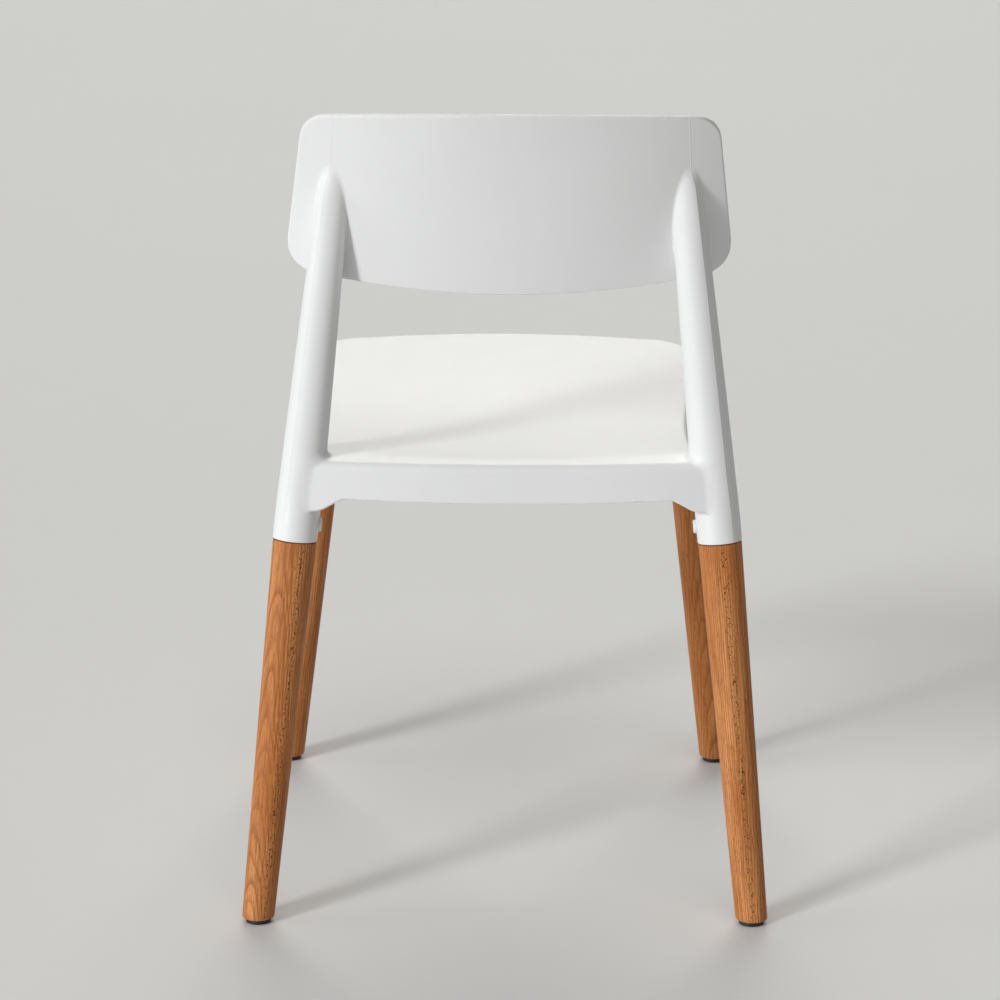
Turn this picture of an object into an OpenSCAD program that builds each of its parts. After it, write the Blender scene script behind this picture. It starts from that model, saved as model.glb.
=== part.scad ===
// Dining chair: one moulded plastic shell (seat, uprights and backrest) on four round tapered
// wooden legs. Millimetres, +Z up, the sitter faces -Y and +X is the sitter's left.
// The origin is on the floor, under the middle of the chair.

/* [Legs] */
// Distance between the rear leg axes at the floor
rear_feet_w = 468.6; // [460:0.2:474]
// Distance from the origin back to the rear leg axes at the floor
rear_feet_y = 246.7; // [242:0.1:250]
// Inward lean of a rear leg, per unit of height
rear_in = 0.0985; // [0.09:0.0005:0.105]
// Forward lean of a rear leg, per unit of height
rear_ahead = 0.1235; // [0.115:0.0005:0.13]
// Distance between the front leg axes at the floor
front_feet_w = 450.8; // [444:0.2:456]
// Distance from the origin forward to the front leg axes at the floor
front_feet_y = 211.6; // [206:0.1:216]
// Inward lean of a front leg, per unit of height
front_in = 0.108; // [0.1:0.0005:0.112]
// Backward lean of a front leg, per unit of height
front_behind = 0.067; // [0.06:0.0005:0.075]
// Height of the joint between wood and plastic
joint_h = 364.3; // [355:0.1:368]
// Diameter of the wood at the joint
leg_top_d = 40.9; // [39:0.1:41.2]
// Diameter of the wood at the floor
leg_foot_d = 30.2; // [27:0.1:32]
// Diameter of the tenon that enters the socket
tenon_d = 31; // [29:0.1:31]
// Length of the tenon
tenon_l = 62; // [56:1:63]

/* [Sockets] */
// Outer diameter of a socket at its rim
rim_d = 41.5; // [41.2:0.1:42]
// Depth of the socket's bore
socket_depth = 66; // [64:1:68]
// Gap all round between tenon and socket
tenon_gap = 0.2; // [0.1:0.05:0.4]
// Chamfer at the joint, on the wood and on the rim
joint_chamfer = 0.9; // [0.4:0.1:1.2]

/* [Uprights] */
// Height of the bend between a rear socket and its upright
knee_h = 410; // [405:1:415]
// How far the bend's corner lies inside the rear leg's axis
knee_in = 1; // [0:0.1:1.5]
// Inward lean of an upright, per unit of height
post_in = 0.1125; // [0.105:0.0005:0.115]
// Backward lean of an upright, per unit of height
post_behind = 0.0095; // [0.005:0.0005:0.015]
// Diameter of an upright at the bend
post_low_d = 42; // [41.5:0.1:42.8]
// Diameter of an upright just below the backrest
post_mid_d = 34.4; // [33:0.1:36]
// Diameter of an upright at its top, inside the backrest
post_top_d = 26.4; // [24:0.1:28]
// Wall of an upright around its hollow core, at the bottom
post_wall = 8.8; // [8:0.1:10]

/* [Backrest] */
// Backward lean of the backrest from upright, in degrees
panel_lean = 16; // [14:0.5:18]
// Radius of the backrest's rear face, seen from above
panel_r = 467; // [440:1:500]
// Thickness of the backrest
panel_t = 5; // [4:0.5:6]
// Height of the lower edge's centre
panel_low_h = 600.1; // [596:0.1:604]
// Distance from the origin back to the lower edge's centre
panel_low_y = 208.8; // [207:0.1:211]
// Height of the backrest along its own slope, in the middle
panel_h = 182.4; // [178:0.1:186]
// Greatest width of the backrest, across its lower corners
panel_w = 408.8; // [402:0.2:414]
// Width of the backrest between its upper corners
panel_top_w = 380; // [372:1:386]

/* [Seat] */
// Height of the seat's lowest point
dish_h = 434; // [430:1:438]
// Radius of the seat's dish, seen from the side
dish_r = 1922; // [1800:1:2200]
// Distance from the origin back to the lowest point
dish_y = 16; // [5:1:25]
// Distance from the origin forward to the front edge
seat_front = 261.8; // [258:0.1:264]
// Width of the seat near its front corners
seat_front_w = 399; // [396:1:402]
// Width of the seat at its waist, ahead of the uprights
seat_waist_w = 352; // [346:1:356]
// Thickness of the seat and its skirt
seat_wall = 4; // [3:0.5:5]
// Height of the skirt's lower edge at the front
skirt_front_h = 418; // [412:1:424]
// Height of the rear rail's lower edge
rail_low_h = 407; // [404:1:410]
// Height of the rear rail's top
rail_top_h = 443; // [441:0.5:445]
// Distance from the origin back to the middle of the rear rail
rail_back_y = 229; // [226:0.5:232]
// How far the rear rail's middle bows out behind its ends
rail_bow = 12; // [9:0.5:13]
// Thickness of the ribs under the seat
rib_t = 3; // [2:0.5:4]

/* [Fasteners] */
// Height of the screw above the joint, along the leg
screw_up = 16; // [14:0.5:18]
// Thread diameter of the screw
screw_d = 6; // [5:0.5:6]
// Diameter of the screw's head
screw_head_d = 10; // [9.5:0.1:10.4]
// Outer diameter of the threaded insert
insert_d = 9.2; // [8.5:0.1:10]
// Length of the threaded insert
insert_l = 13; // [10:0.5:14]
// Diameter of the boss around the screw
boss_d = 13; // [12.8:0.1:15]
// Distance from the leg's axis to the boss's face
boss_out = 24.1; // [23.5:0.1:25]
// Diameter of a glide pad
pad_d = 24; // [20:0.5:26]
// Thickness of a glide pad
pad_t = 5; // [4:0.5:6]

/* [Hidden] */
$fn = 96;
over = 1; // how far a cutter passes a face

// A left leg is [foot point, lean per unit of height]
rear_leg = [[rear_feet_w / 2, rear_feet_y, 0], [-rear_in, -rear_ahead, 1]];
front_leg = [[front_feet_w / 2, -front_feet_y, 0], [-front_in, front_behind, 1]];

// Point of a line [foot, lean] at a height
function at_height(line, z) = line[0] + (z - line[0].z) * line[1];

knee = at_height(rear_leg, knee_h) - [knee_in, 0, 0];
bend = 30; // height over which the bend is spread, each way
post = [knee, [-post_in, post_behind, 1]];
post_mid_h = 600;
post_top_h = 740;
core_top_h = 640;
core_top_r = 8;
core_low_r = post_low_d / 2 - post_wall;

shank_r = screw_d / 2 - 0.05;
head_h = 2.4;
head_seat = boss_out - 2.8;
shank_end = 4;
insert_out = 14.6;

nail_r = 1.25;
nail_head_r = 3.4;
nail_head_h = 1;
nail_low = 1.2;
nail_up = 16;

panel_low_corner = 24.5;
panel_low_rise = 2.7; // rise of the lower edge from its middle to its corners
panel_side_z = 32; // where the sides start to lean in
panel_top_corner = 31;
panel_top_corner_z = 136.4;
panel_top_arc = 893;
panel_top_arc_w = 300; // width over which the top edge is one arc

web_w = 14;
web_reach = 26; // from the upright's axis forward
web_start = 12; // above the backrest's lower edge
web_h = 70;

seat_corner_r = 55;
front_bow = 13;
waterfall_r = 9;
rail_half = knee.x - 8; // the rail's rear face ends short of the upright's axis
rail_end = rail_half - 4;
rail_edge_r = 8;
rail_ridge_y = 203; // where the seat's dish meets the flat top of the rail
gusset_start = 154;
gusset_turn = 172; // where its lower edge levels out
gusset_end = rail_half + 2;
gusset_drop = 12;
gusset_rise = 20; // height it shares with the rail at its start
gusset_deep = 12;
gusset_inset = 0.35; // it lies this far inside the rail's rear face

waist_from = 20; // stretch along which the seat is narrowest
waist_to = 90;
side_lead = [188, -90]; // point that the side heads for as it leaves the front corner
rail_turn_y = 186; // where the seat's side meets the rail
front_flat_w = 288; // width over which the front edge is one arc

rib_x = 78;
rib_ys = [-120, 70];

boss_start = 17; // inside the socket's wall

// ---- helpers ----

// A frame with its origin at a point and +Z along a direction
module along(point, v) {
  turn = atan2(v.y, v.x);
  translate(point) rotate([0, acos(v.z / norm(v)), turn]) rotate([0, 0, -turn]) children();
}

// A leg's own frame: the origin on its axis at the joint, +Z up along the axis
module on_leg(leg) {
  along(at_height(leg, joint_h), leg[1]) children();
}

// In a leg's frame: +Z points from the axis to the inner side of the chair, at the screw's height
module on_screw(leg) {
  on_leg(leg) translate([0, 0, screw_up]) rotate([0, -90, 0]) children();
}

module cone_between(a, b, ra, rb) {
  along(a, b - a) cylinder(h = norm(b - a), r1 = ra, r2 = rb);
}

// Points of one ring of a sweep, around a station [centre, direction, radius]
function ring(station, sides) = let (
    ahead = station[1] / norm(station[1]),
    across = cross([0, 1, 0], ahead) / norm(cross([0, 1, 0], ahead)),
    up = cross(ahead, across)
  ) [for (i = [0:sides - 1]) let (a = 360 * i / sides)
      station[0] + station[2] * (cos(a) * across + sin(a) * up)];

// Round bar through stations
module sweep(stations, sides) {
  last = len(stations) - 1;
  polyhedron([for (s = stations) each ring(s, sides)], concat(
    [[for (i = [0:sides - 1]) i]],
    [for (k = [0:last - 1], i = [0:sides - 1]) let (a = k * sides + i, b = k * sides + (i + 1) % sides)
      [a, a + sides, b + sides, b]],
    [[for (i = [sides - 1:-1:0]) last * sides + i]]
  ));
}

// Copies a left-hand solid to both sides
module both_sides() {
  children();
  mirror([1, 0, 0]) children();
}

// Arc points around a centre, from one angle to another
function arc(c, r, a0, a1, n) = [for (i = [0:n]) let (a = a0 + (a1 - a0) * i / n) c + r * [cos(a), sin(a)]];

// Points of a cubic curve, without its first point
function curve(p, q, r, s, n) = [for (i = [1:n]) let (t = i / n, u = 1 - t)
  u * u * u * p + 3 * u * u * t * q + 3 * u * t * t * r + t * t * t * s];

// An outline's right-hand half, given from bottom to top, closed by its mirror image
function closed(half) = concat(half,
  [for (i = [len(half) - 1:-1:0]) if (half[i].x > 0.01) [-half[i].x, half[i].y]]);

// ---- backrest ----

// Frame of the backrest: origin at the middle of its lower edge's rear face, +Z up its slope
module on_panel() {
  translate([0, panel_low_y, panel_low_h]) rotate([-panel_lean, 0, 0]) children();
}

low_arc_x = panel_w / 2 - panel_low_corner;
top_arc_x = panel_top_w / 2 - panel_top_corner + 1.5;
side_lean = atan2((panel_w - panel_top_w) / 2, panel_h - 2 * panel_side_z);

panel_outline = closed(concat(
  [for (x = [0:30:low_arc_x - 5]) [x, panel_low_rise * pow(x / low_arc_x, 1.3)]],
  arc([low_arc_x, panel_low_corner + panel_low_rise], panel_low_corner, -88, -6, 8),
  arc([low_arc_x, panel_side_z], panel_low_corner, 0, side_lean, 2),
  arc([top_arc_x, panel_top_corner_z], panel_top_corner, side_lean, 79, 8),
  [for (x = [panel_top_arc_w / 2:-25:0]) [x, panel_h - panel_top_arc + sqrt(pow(panel_top_arc, 2) - x * x)]]
));

module panel_outline_prism() {
  rotate([90, 0, 0]) linear_extrude(height = 200, center = true) polygon(panel_outline);
}

module panel() {
  on_panel() intersection() {
    panel_outline_prism();
    translate([0, -panel_r, -over]) difference() {
      cylinder(r = panel_r, h = panel_h + 2 * over, $fn = 360);
      translate([0, 0, -over]) cylinder(r = panel_r - panel_t, h = panel_h + 4 * over, $fn = 360);
    }
  }
}

// Everything ahead of the backrest's front face
module ahead_of_panel() {
  on_panel() translate([0, -panel_r, 0]) cylinder(r = panel_r - panel_t, h = panel_h + 60, $fn = 360);
}

// ---- uprights ----

// Stations of the rear socket and its upright, as [centre, direction, radius], turning at the knee
upright_stations = concat(
  [[at_height(rear_leg, joint_h), rear_leg[1], rim_d / 2 - joint_chamfer],
   [at_height(rear_leg, joint_h + joint_chamfer), rear_leg[1], rim_d / 2]],
  [for (t = [0:0.25:1])
    let (below = at_height(rear_leg, knee_h - bend), above = at_height(post, knee_h + bend))
    [(1 - t) * (1 - t) * below + 2 * t * (1 - t) * knee + t * t * above,
     (1 - t) * rear_leg[1] + t * post[1], post_low_d / 2]],
  [[at_height(post, post_mid_h), post[1], post_mid_d / 2],
   [at_height(post, post_top_h), post[1], post_top_d / 2]]
);

module upright() {
  difference() {
    union() {
      sweep(upright_stations, 64);
      upright_web();
    }
    ahead_of_panel();
  }
}

// Web that ties an upright's front to the backrest's rear face
module upright_web() {
  low = at_height(post, panel_low_h + web_start);
  translate([low.x - web_w / 2, low.y - web_reach, low.z]) cube([web_w, web_reach, web_h]);
}

module upright_core() {
  cone_between(at_height(post, joint_h + socket_depth - 4), at_height(post, core_top_h),
    core_low_r, core_top_r);
}

// ---- seat ----

function dish_z(y) = dish_h + dish_r - sqrt(pow(dish_r, 2) - pow(y - dish_y, 2));

function rail_face(x) = rail_back_y - rail_bow * pow(x / rail_half, 2);

front_half = seat_front_w / 2;
waist_half = seat_waist_w / 2;
corner_y = -seat_front + front_bow + seat_corner_r;

// Plan of the seat, front to back; inset moves its edge inwards
function seat_half(inset) = concat(
  [for (x = [0:front_flat_w / 8:front_flat_w / 2])
    [x, -seat_front + inset + front_bow * pow(2 * x / front_flat_w, 2)]],
  arc([front_half - seat_corner_r, corner_y], seat_corner_r - inset, -78, 0, 9),
  curve([front_half - inset, corner_y], side_lead - [inset, 0], [waist_half - inset, waist_from],
        [waist_half - inset, waist_to], 8),
  curve([waist_half - inset, waist_to], [waist_half - inset, waist_to + 33],
        [waist_half + 1 - inset, rail_turn_y - 21], [rail_end - inset, rail_turn_y], 5),
  [for (i = [0:6]) let (x = (rail_end - inset) * (1 - i / 6)) [x, rail_face(x) - inset]]
);

// Solid under the seat's top face, lowered by drop, down to the height low
module under_dish(drop, low) {
  top = concat(
    arc([-seat_front + waterfall_r, dish_z(-seat_front + waterfall_r) - waterfall_r],
      waterfall_r, 180, 97, 5),
    [for (y = [-240:30:180]) [y, dish_z(y)]],
    [[rail_ridge_y, rail_top_h]],
    arc([rail_back_y - rail_edge_r, rail_top_h - rail_edge_r], rail_edge_r, 90, 0, 4)
  );
  translate([0, 0, -drop]) rotate([90, 0, 90]) linear_extrude(height = 480, center = true)
    polygon(concat([[-seat_front, low + drop]], top, [[rail_back_y, low + drop]]));
}

// Space above the skirt's lower edge, which falls from the front to the rear rail
module above_skirt() {
  rotate([90, 0, 90]) linear_extrude(height = 480, center = true)
    polygon([[-seat_front - over, 500], [-seat_front - over, skirt_front_h], [rail_back_y - 70, rail_low_h],
             [rail_back_y + over, rail_low_h], [rail_back_y + over, 500]]);
}

module seat_plan(inset) {
  translate([0, 0, 380]) linear_extrude(height = 90) polygon(closed(seat_half(inset)));
}

module seat() {
  difference() {
    intersection() {
      under_dish(0, 390);
      above_skirt();
      seat_plan(0);
    }
    intersection() {
      under_dish(seat_wall, 380);
      seat_plan(seat_wall);
    }
  }
}

// Ribs under the seat: two run front to back and two run across
module ribs() {
  intersection() {
    under_dish(seat_wall / 2, 385);
    seat_plan(seat_wall / 2);
    union() {
      for (x = [-rib_x, rib_x]) translate([x - rib_t / 2, -270, skirt_front_h]) cube([rib_t, 520, 40]);
      for (y = rib_ys) translate([-230, y - rib_t / 2, skirt_front_h]) cube([460, rib_t, 40]);
    }
  }
}

// End of the rail, which laps over the upright's rear and runs lower beside it
module gusset() {
  low = rail_low_h - gusset_drop;
  top = rail_top_h - 3;
  start_y = rail_face(gusset_start) - gusset_inset;
  fall = (rail_face(rail_end * 5 / 6) - rail_face(rail_end)) / (rail_end / 6);
  end_y = start_y - (gusset_end - gusset_start) * fall;
  intersection() {
    rotate([90, 0, 0]) linear_extrude(height = 600, center = true) polygon([
      [gusset_start, rail_low_h + gusset_rise], [gusset_start, rail_low_h + 0.5], [gusset_turn, low + 2.5],
      [gusset_end, low], [gusset_end - 5, top], [gusset_start + 15, top]
    ]);
    translate([0, 0, low - over]) linear_extrude(height = 60) polygon([
      [gusset_start, start_y - gusset_deep], [gusset_end + over, end_y - gusset_deep],
      [gusset_end + over, end_y], [gusset_start, start_y]
    ]);
  }
}

module front_socket() {
  intersection() {
    on_leg(front_leg) rotate_extrude() polygon([
      [0, 0], [rim_d / 2 - joint_chamfer, 0], [rim_d / 2, joint_chamfer], [rim_d / 2 + 0.4, 110], [0, 110]
    ]);
    under_dish(0, 340);
  }
}

// ---- screw joint of one socket ----

module screw_boss(leg) {
  on_screw(leg) translate([0, 0, boss_start]) cylinder(h = boss_out - boss_start, r = boss_d / 2);
}

module socket_cuts(leg) {
  on_leg(leg) translate([0, 0, -over]) cylinder(h = socket_depth + over, r = tenon_d / 2 + tenon_gap);
  on_screw(leg) cylinder(h = boss_out + over, r = screw_d / 2 + 0.2);
  on_screw(leg) translate([0, 0, head_seat]) cylinder(h = 5, r = screw_head_d / 2 + 0.4);
}

// ---- sub-parts ----

// One plastic moulding: backrest, two uprights, seat, rear rail and four leg sockets
module shell() {
  color("white") difference() {
    union() {
      panel();
      seat();
      ribs();
      both_sides() {
        upright();
        gusset();
        front_socket();
        screw_boss(rear_leg);
        screw_boss(front_leg);
      }
    }
    both_sides() {
      socket_cuts(rear_leg);
      socket_cuts(front_leg);
      upright_core();
    }
  }
}

// Tapered leg with a shouldered tenon, cut level at the foot
module leg(line) {
  lean = norm(line[1]);
  grow = (leg_top_d - leg_foot_d) / 2 / (joint_h * lean);
  low = -(joint_h + 10) * lean;
  color("peru") difference() {
    on_leg(line) rotate_extrude() polygon([
      [0, low], [leg_top_d / 2 + low * grow, low], [leg_top_d / 2, -joint_chamfer],
      [leg_top_d / 2 - joint_chamfer, 0], [tenon_d / 2, 0], [tenon_d / 2, tenon_l - 2],
      [tenon_d / 2 - 2, tenon_l], [0, tenon_l]
    ]);
    translate([-300, -300, -100]) cube([600, 600, 100 + pad_t]);
    on_screw(line) translate([0, 0, insert_out - insert_l]) cylinder(h = 30, r = insert_d / 2);
    on_screw(line) translate([0, 0, shank_end - 2]) cylinder(h = 20, r = screw_d / 2 + 0.2);
    translate(at_height(line, pad_t)) cylinder(h = nail_up, r = nail_r);
  }
}

// Pan-head screw with a cross recess
module leg_screw(line) {
  r = screw_head_d / 2;
  color("silver") on_screw(line) difference() {
    rotate_extrude() polygon(concat(
      [[0, shank_end], [shank_r - 0.6, shank_end], [shank_r, shank_end + 0.8], [shank_r, head_seat],
       [r, head_seat], [r, head_seat + head_h - 1.2]],
      arc([r - 1.2, head_seat + head_h - 1.2], 1.2, 0, 75, 4),
      [[0, head_seat + head_h + 0.25]]
    ));
    for (a = [0, 90]) rotate([0, 0, a]) translate([-2.6, -0.55, head_seat + 0.9]) cube([5.2, 1.1, 3]);
  }
}

// Threaded insert, driven into the side of the tenon
module leg_insert(line) {
  color("goldenrod") on_screw(line) translate([0, 0, insert_out - insert_l]) difference() {
    cylinder(h = insert_l, r = insert_d / 2);
    translate([0, 0, -over]) cylinder(h = insert_l + 2 * over, r = screw_d / 2);
  }
}

// Glide pad under a leg, recessed for its nail
module glide_pad(line) {
  r = pad_d / 2;
  foot = at_height(line, pad_t);
  color("black") translate([foot.x, foot.y, 0]) rotate_extrude() polygon([
    [nail_head_r + 0.6, 0], [r - 1, 0], [r, 1], [r, pad_t], [nail_r, pad_t],
    [nail_r, nail_low + nail_head_h], [nail_head_r + 0.6, nail_low + nail_head_h]
  ]);
}

// Steel nail that holds a glide pad
module glide_nail(line) {
  foot = at_height(line, pad_t);
  color("gray") translate([foot.x, foot.y, 0]) rotate_extrude() polygon([
    [0, nail_low], [nail_head_r, nail_low], [nail_head_r, nail_low + nail_head_h],
    [nail_r, nail_low + nail_head_h], [nail_r, pad_t + nail_up - 3], [0, pad_t + nail_up]
  ]);
}

shell();

leg(rear_leg);  // rear_leg_left
mirror([1, 0, 0]) leg(rear_leg);  // rear_leg_right
leg(front_leg);  // front_leg_left
mirror([1, 0, 0]) leg(front_leg);  // front_leg_right

leg_screw(rear_leg);  // rear_left_leg_screw
mirror([1, 0, 0]) leg_screw(rear_leg);  // rear_right_leg_screw
leg_screw(front_leg);  // front_left_leg_screw
mirror([1, 0, 0]) leg_screw(front_leg);  // front_right_leg_screw

leg_insert(rear_leg);  // rear_left_leg_insert
mirror([1, 0, 0]) leg_insert(rear_leg);  // rear_right_leg_insert
leg_insert(front_leg);  // front_left_leg_insert
mirror([1, 0, 0]) leg_insert(front_leg);  // front_right_leg_insert

glide_pad(rear_leg);  // rear_left_glide_pad
mirror([1, 0, 0]) glide_pad(rear_leg);  // rear_right_glide_pad
glide_pad(front_leg);  // front_left_glide_pad
mirror([1, 0, 0]) glide_pad(front_leg);  // front_right_glide_pad

glide_nail(rear_leg);  // rear_left_glide_nail
mirror([1, 0, 0]) glide_nail(rear_leg);  // rear_right_glide_nail
glide_nail(front_leg);  // front_left_glide_nail
mirror([1, 0, 0]) glide_nail(front_leg);  // front_right_glide_nail
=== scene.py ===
import math

import bpy
import numpy as np
from mathutils import Matrix, Vector


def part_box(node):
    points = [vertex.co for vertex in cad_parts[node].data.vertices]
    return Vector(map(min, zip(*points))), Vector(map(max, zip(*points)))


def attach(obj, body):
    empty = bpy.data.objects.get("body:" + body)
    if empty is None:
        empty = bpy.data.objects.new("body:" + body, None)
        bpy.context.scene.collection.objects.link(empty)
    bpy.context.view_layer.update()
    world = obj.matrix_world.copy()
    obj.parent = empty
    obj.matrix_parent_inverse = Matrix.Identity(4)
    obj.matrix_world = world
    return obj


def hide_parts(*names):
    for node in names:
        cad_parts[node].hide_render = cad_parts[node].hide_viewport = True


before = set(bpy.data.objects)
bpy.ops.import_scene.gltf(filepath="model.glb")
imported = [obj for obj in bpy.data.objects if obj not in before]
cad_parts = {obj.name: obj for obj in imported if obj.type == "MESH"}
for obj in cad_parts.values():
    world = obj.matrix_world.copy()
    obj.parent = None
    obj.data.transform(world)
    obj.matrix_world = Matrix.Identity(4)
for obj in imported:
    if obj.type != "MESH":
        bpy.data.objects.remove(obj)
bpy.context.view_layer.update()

MM = 0.001

# ---------------------------------------------------------------- sizes, in millimetres

# Legs, their joints, and the glide pads
LEG_TOP_R = 20.45
LEG_FOOT_R = 15.1
TENON_R = 15.5
TENON_L = 62.0
TENON_EDGE = 2
JOINT_GAP = 0.9
RIM_R = 20.75
RIM_ROUND = 1.2
BORE_R = 15.7
SOCKET_DEPTH = 66.0
SCREW_UP = 16.0
BOSS_R = 6.5
BOSS_OUT = 24.1
HEAD_SEAT = 21.3
HEAD_R = 5.0
SHANK_HOLE_R = 3.2
PAD_R = 12.0
NAIL_R = 1.25

# Uprights: the knee where the socket's line turns into the upright's, and radii by height
KNEE_Z = 410.0
BEND = 14.0
POST_IN = 0.1125
POST_BEHIND = 0.0095
POST_SHIFT = 1.0
POST_R = ((362.0, 20.75), (396.0, 21.0), (450.0, 20.5), (600.0, 17.2), (740.0, 13.2))
CREASE_ANGLE = math.radians(34.5)
WEB_MIDDLE = (0, -13, 652)
WEB_HALF = (6.5, 16, 40)

# Backrest
PANEL_LEAN = math.radians(16.0)
PANEL_R = 467.0
PANEL_T = 5.0
PANEL_LOW = (208.8, 600.1)
PANEL_H = 182.4
PANEL_HALF_W = 204.4
PANEL_TOP_HALF_W = 190.0
PANEL_TOP_ARC = 893.0
PANEL_EDGE_R = 1.3

# Seat and rail
DISH_Z = 434.0
DISH_R = 1922.0
DISH_Y = 16.0
DISH_SIDE_RISE = 1.1e-4
SEAT_FRONT = 261.4
SEAT_WALL = 4.0
SKIRT_FRONT_Z = 418.0
RAIL_LOW_Z = 407.0
RAIL_TOP_Z = 443.3
RAIL_BACK_Y = 229.0
RAIL_BOW = 13.0
RAIL_HALF_L = 184.9
RAIL_TILT = 0.045
INSIDE_POST = 189.0
RIB_X = 78.0
RIB_FRONT_Y = -120.0
RIB_REAR_Y = 70.0
RIB_HALF_T = 1.5
FRONT_SOCKET_GROWTH = 0.4
FRONT_SOCKET_H = 110.0

# Gusset between rail and upright, as corners (x, z)
GUSSET = np.array([(146.0, 425.0), (146.0, 408.6), (153.0, 408.0), (161.0, 403.6),
                   (170.0, 398.4), (176.0, 396.2), (191.0, 394.6), (191.0, 425.0)])
GUSSET_HALF_T = 6.0

# Heights where the shell's field is cut off below, and where the seat's part gives way to the backrest's
FIELD_LOW_Z = 346
FIELD_SPLIT_Z = 520

# The shell's field is followed to its surface with slopes taken over this distance
REACH = 0.4


# ---------------------------------------------------------------- places, from the frame

def read(items, field, width=1, kind=float):
    """One field of a mesh's vertices, loops or faces, as an array."""
    values = np.empty(len(items) * width, kind)
    items.foreach_get(field, values)
    return values if width == 1 else values.reshape(-1, width)


def corners(node):
    """Lowest and highest corner of a CAD node."""
    low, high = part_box(node)
    return np.array(low) / MM, np.array(high) / MM


def node_points(node):
    """A CAD node's points."""
    return read(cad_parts[node].data.vertices, "co", 3) / MM


def left_axis(end):
    """A left leg's axis: its point on the floor, and its lean per unit of height."""
    low, high = corners(f"{end}_left_glide_pad")
    foot = np.array([(low[0] + high[0]) / 2, (low[1] + high[1]) / 2, high[2]])
    points = node_points(f"{end}_leg_left")
    lean = points[points[:, 2].argmax()] - foot
    for _ in range(6):
        reach = (points - foot) @ (lean / np.linalg.norm(lean))
        lean = points[reach > reach.max() - 0.5].mean(0) - foot
    lean = lean / lean[2]
    return foot - foot[2] * lean, lean


def joint_height(end):
    """Height at which a leg's axis passes from wood into the socket."""
    foot, lean = AXES[end]
    reach = (node_points(f"{end}_leg_left") - foot) @ (lean / np.linalg.norm(lean))
    return (reach.max() - TENON_L) / np.linalg.norm(lean)


AXES = {end: left_axis(end) for end in ("rear", "front")}
JOINTS = {end: joint_height(end) for end in AXES}
PAD_T = corners("rear_left_glide_pad")[1][2]
LEGS = [(end, side, sign) for end in AXES for side, sign in (("left", 1.0), ("right", -1.0))]


def leg_frame(end, sign, z):
    """Origin on a leg's axis at a height, with its axes as columns: X, Y, and up along the leg."""
    foot, lean = AXES[end]
    flip = np.array([sign, 1.0, 1.0])
    up = lean * flip / np.linalg.norm(lean)
    turn = (np.array([0.0, 0.0, 1.0]) + up) / (1 + up[2])
    across = np.array([1.0, 0.0, 0.0]) - up[0] * turn
    return (foot + z * lean) * flip, np.stack([across, np.cross(up, across), up], axis=1)


def screw_frame(end, sign):
    """Origin on a leg's axis at its screw, with the last column towards the middle of the chair."""
    _, axes = leg_frame(end, sign, 0.0)
    z = JOINTS[end] + SCREW_UP / np.linalg.norm(AXES[end][1])
    inward = -sign * axes[:, 0]
    return leg_frame(end, sign, z)[0], np.stack([axes[:, 2], np.cross(inward, axes[:, 2]), inward], axis=1)


# ---------------------------------------------------------------- outlines

def arc(centre, r, a0, a1, n):
    """Points of an arc from one angle to another, in degrees."""
    a = np.radians(np.linspace(a0, a1, n + 1))
    return np.stack([centre[0] + r * np.cos(a), centre[1] + r * np.sin(a)], axis=1)


def curve(p, q, r, s, n):
    """Points of a cubic curve from p to s, drawn towards q and r, without its first point."""
    t = np.linspace(0, 1, n + 1)[1:, None]
    u = 1 - t
    return (u ** 3 * np.array(p) + 3 * u * u * t * np.array(q) + 3 * u * t * t * np.array(r)
            + t ** 3 * np.array(s))


def both_halves(half):
    """Closed outline from the pieces of its right half, which runs from the middle back to the middle."""
    half = np.concatenate(half)
    return np.concatenate([half, (half * (-1, 1))[::-1]])


def panel_outline():
    low_r, top_r, rise = 24.5, 31.0, 2.7
    low_x, top_x = PANEL_HALF_W - low_r, PANEL_TOP_HALF_W - top_r + 1.5
    side_low, side_high, side_h = 32.0, 136.4, PANEL_H - 64.0
    lean = math.degrees(math.atan2(PANEL_HALF_W - PANEL_TOP_HALF_W, side_h))
    x = np.linspace(0, low_x - 1, 30)
    top = np.linspace(top_x + 6, 0, 40)
    return both_halves([
        np.stack([x, rise * (x / low_x) ** 1.3], axis=1),
        arc((low_x, low_r + rise), low_r, -88, -6, 24),
        arc((low_x, side_low), low_r, 0, lean, 4),
        arc((top_x, side_high), top_r, lean, 79, 24),
        np.stack([top, PANEL_H - PANEL_TOP_ARC + np.sqrt(PANEL_TOP_ARC ** 2 - top ** 2)], axis=1),
    ])


def seat_outline():
    half_w, waist, end_x = 199.5, 176.0, 180.9
    corner_r, front_bow, front_x = 55.0, 13.0, 144
    corner_y = front_bow + corner_r - SEAT_FRONT
    x = np.linspace(0, front_x, 24)
    back = np.linspace(INSIDE_POST, 0, 24)
    return both_halves([
        np.stack([x, front_bow * (x / front_x) ** 2 - SEAT_FRONT], axis=1),
        arc((half_w - corner_r, corner_y), corner_r, -78, 0, 30),
        curve((half_w, corner_y), (188, -90), (waist, 20), (waist, 90), 30),
        curve((waist, 90), (waist, 123), (waist + 1, 165), (end_x, 186), 12),
        np.stack([back, rail_face(back)], axis=1),
    ])


def rail_face(x):
    """How far back the rail's rear face stands at x."""
    return RAIL_BACK_Y - RAIL_BOW * (x / RAIL_HALF_L) ** 2


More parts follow.
